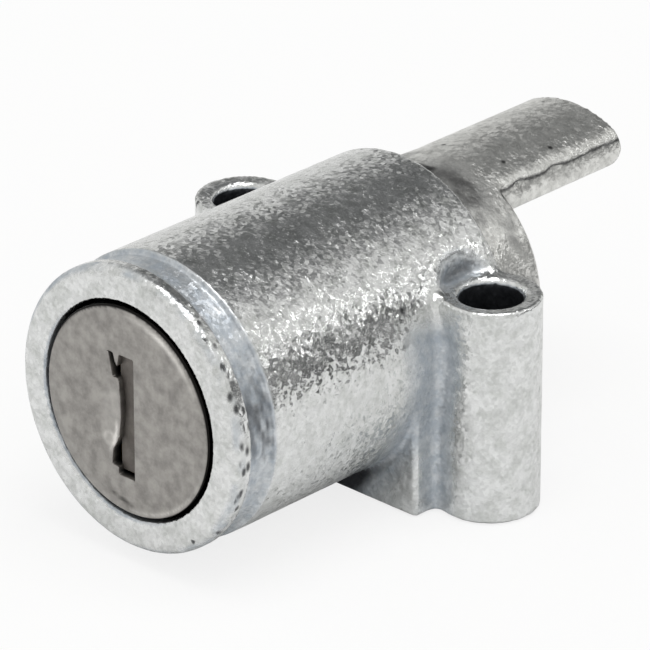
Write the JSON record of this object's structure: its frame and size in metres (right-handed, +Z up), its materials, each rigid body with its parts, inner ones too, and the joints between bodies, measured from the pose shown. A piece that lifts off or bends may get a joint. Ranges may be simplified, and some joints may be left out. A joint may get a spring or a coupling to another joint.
{
  "type": "battery lock",
  "caption": "Die-cast cylinder lock with two screw bosses, a key plug with a dust shutter, and a quarter-turn cam whose tongue holds a battery",
  "frame": {"origin": "on the mounting base, midway between the two screw holes", "axes": "+Z up, away from the base and along the screw holes; +Y along the lock axis from the key side to the tongue; +X to the right as seen from the key side"},
  "size_m": [0.0295, 0.0436, 0.021],
  "materials": {
    "zinc_casting": "bright zinc-plated die casting with a fine sparkling grain",
    "stainless_cap": "satin stainless sheet",
    "brass_plug": "machined brass",
    "brass_wafer": "stamped brass",
    "spring_steel": "drawn spring wire",
    "dark_shutter": "dark grey dust shutter",
    "hard_steel": "hardened ground steel",
    "rubber_seal": "matt black rubber",
    "plated_screw": "zinc-plated steel"
  },
  "bodies": {
    "housing": {"housing": "zinc_casting", "stop_pin": "hard_steel"},
    "plug": {"plug": "brass_plug", "plug_cap": "stainless_cap", "hardened_pins": "hard_steel", "seal_ring": "rubber_seal", "shutter_pin": "spring_steel", "shutter_spring": "spring_steel", "cam_tongue": "zinc_casting", "cam_washer": "spring_steel", "cam_screw": "plated_screw", "wafer_spring_1": "spring_steel", "wafer_spring_2": "spring_steel", "wafer_spring_3": "spring_steel", "wafer_spring_4": "spring_steel", "wafer_spring_5": "spring_steel", "wafer_spring_6": "spring_steel"},
    "shutter": {"shutter": "dark_shutter"},
    "wafer_1": {"wafer_1": "brass_wafer"},
    "wafer_2": {"wafer_2": "brass_wafer"},
    "wafer_3": {"wafer_3": "brass_wafer"},
    "wafer_4": {"wafer_4": "brass_wafer"},
    "wafer_5": {"wafer_5": "brass_wafer"},
    "wafer_6": {"wafer_6": "brass_wafer"}
  },
  "joints": [
    {"name": "key_turn", "type": "hinge", "parent": "housing", "child": "plug", "pos_m": [0, -0.0127, 0.01095], "axis": [0, 1, 0], "range_deg": [0, 90]},
    {"name": "shutter_swing", "type": "hinge", "parent": "plug", "child": "shutter", "pos_m": [0.00113, -0.02165, 0.01095], "axis": [0, 0, -1], "range_deg": [0, 80], "stiffness_Nm_per_rad": 0.000005},
    {"name": "wafer_1_drop", "type": "slide", "parent": "plug", "child": "wafer_1", "axis": [0, 0, -1], "range_m": [0, 0.0009], "deforming": ["wafer_spring_1"]},
    {"name": "wafer_2_drop", "type": "slide", "parent": "plug", "child": "wafer_2", "axis": [0, 0, -1], "range_m": [0, 0.0009], "deforming": ["wafer_spring_2"]},
    {"name": "wafer_3_drop", "type": "slide", "parent": "plug", "child": "wafer_3", "axis": [0, 0, -1], "range_m": [0, 0.0009], "deforming": ["wafer_spring_3"]},
    {"name": "wafer_4_drop", "type": "slide", "parent": "plug", "child": "wafer_4", "axis": [0, 0, -1], "range_m": [0, 0.0009], "deforming": ["wafer_spring_4"]},
    {"name": "wafer_5_drop", "type": "slide", "parent": "plug", "child": "wafer_5", "axis": [0, 0, -1], "range_m": [0, 0.0009], "deforming": ["wafer_spring_5"]},
    {"name": "wafer_6_drop", "type": "slide", "parent": "plug", "child": "wafer_6", "axis": [0, 0, -1], "range_m": [0, 0.0009], "deforming": ["wafer_spring_6"]}
  ],
  "couplings": [
    {"joint": "wafer_2_drop", "follows": "wafer_1_drop", "ratio": 1},
    {"joint": "wafer_3_drop", "follows": "wafer_1_drop", "ratio": 1},
    {"joint": "wafer_4_drop", "follows": "wafer_1_drop", "ratio": 1},
    {"joint": "wafer_5_drop", "follows": "wafer_1_drop", "ratio": 1},
    {"joint": "wafer_6_drop", "follows": "wafer_1_drop", "ratio": 1}
  ]
}
